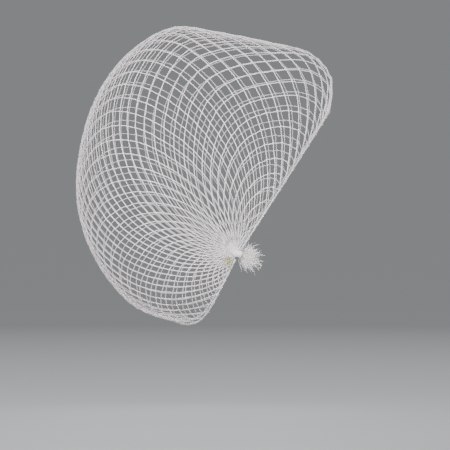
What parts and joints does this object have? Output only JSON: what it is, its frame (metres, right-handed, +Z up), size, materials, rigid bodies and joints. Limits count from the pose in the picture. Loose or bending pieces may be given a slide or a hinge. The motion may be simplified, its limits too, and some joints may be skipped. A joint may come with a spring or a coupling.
{
  "type": "hairnet",
  "caption": "White diamond-mesh hairnet in its worn shape, gathered to a tufted point at each ear, with thin elastics along the forehead and nape edges.",
  "frame": {"origin": "the crown seat: the inside of the net at the top of the head, on its middle plane", "axes": "+X to the forehead, +Y to the wearer's left ear, +Z up"},
  "size_m": [0.1949, 0.1622, 0.2249],
  "materials": {
    "thread": "matt off-white textured thread",
    "elastic": "thread-covered elastic, slightly grey",
    "tuft": "loose white thread ends",
    "latex": "natural latex, satin"
  },
  "bodies": {
    "root": {"net": "thread", "front_elastic": "elastic", "nape_elastic": "elastic", "tuft_right": "tuft", "tuft_left": "tuft", "elastic_knot_right": "latex", "elastic_knot_left": "latex"}
  },
  "joints": []
}
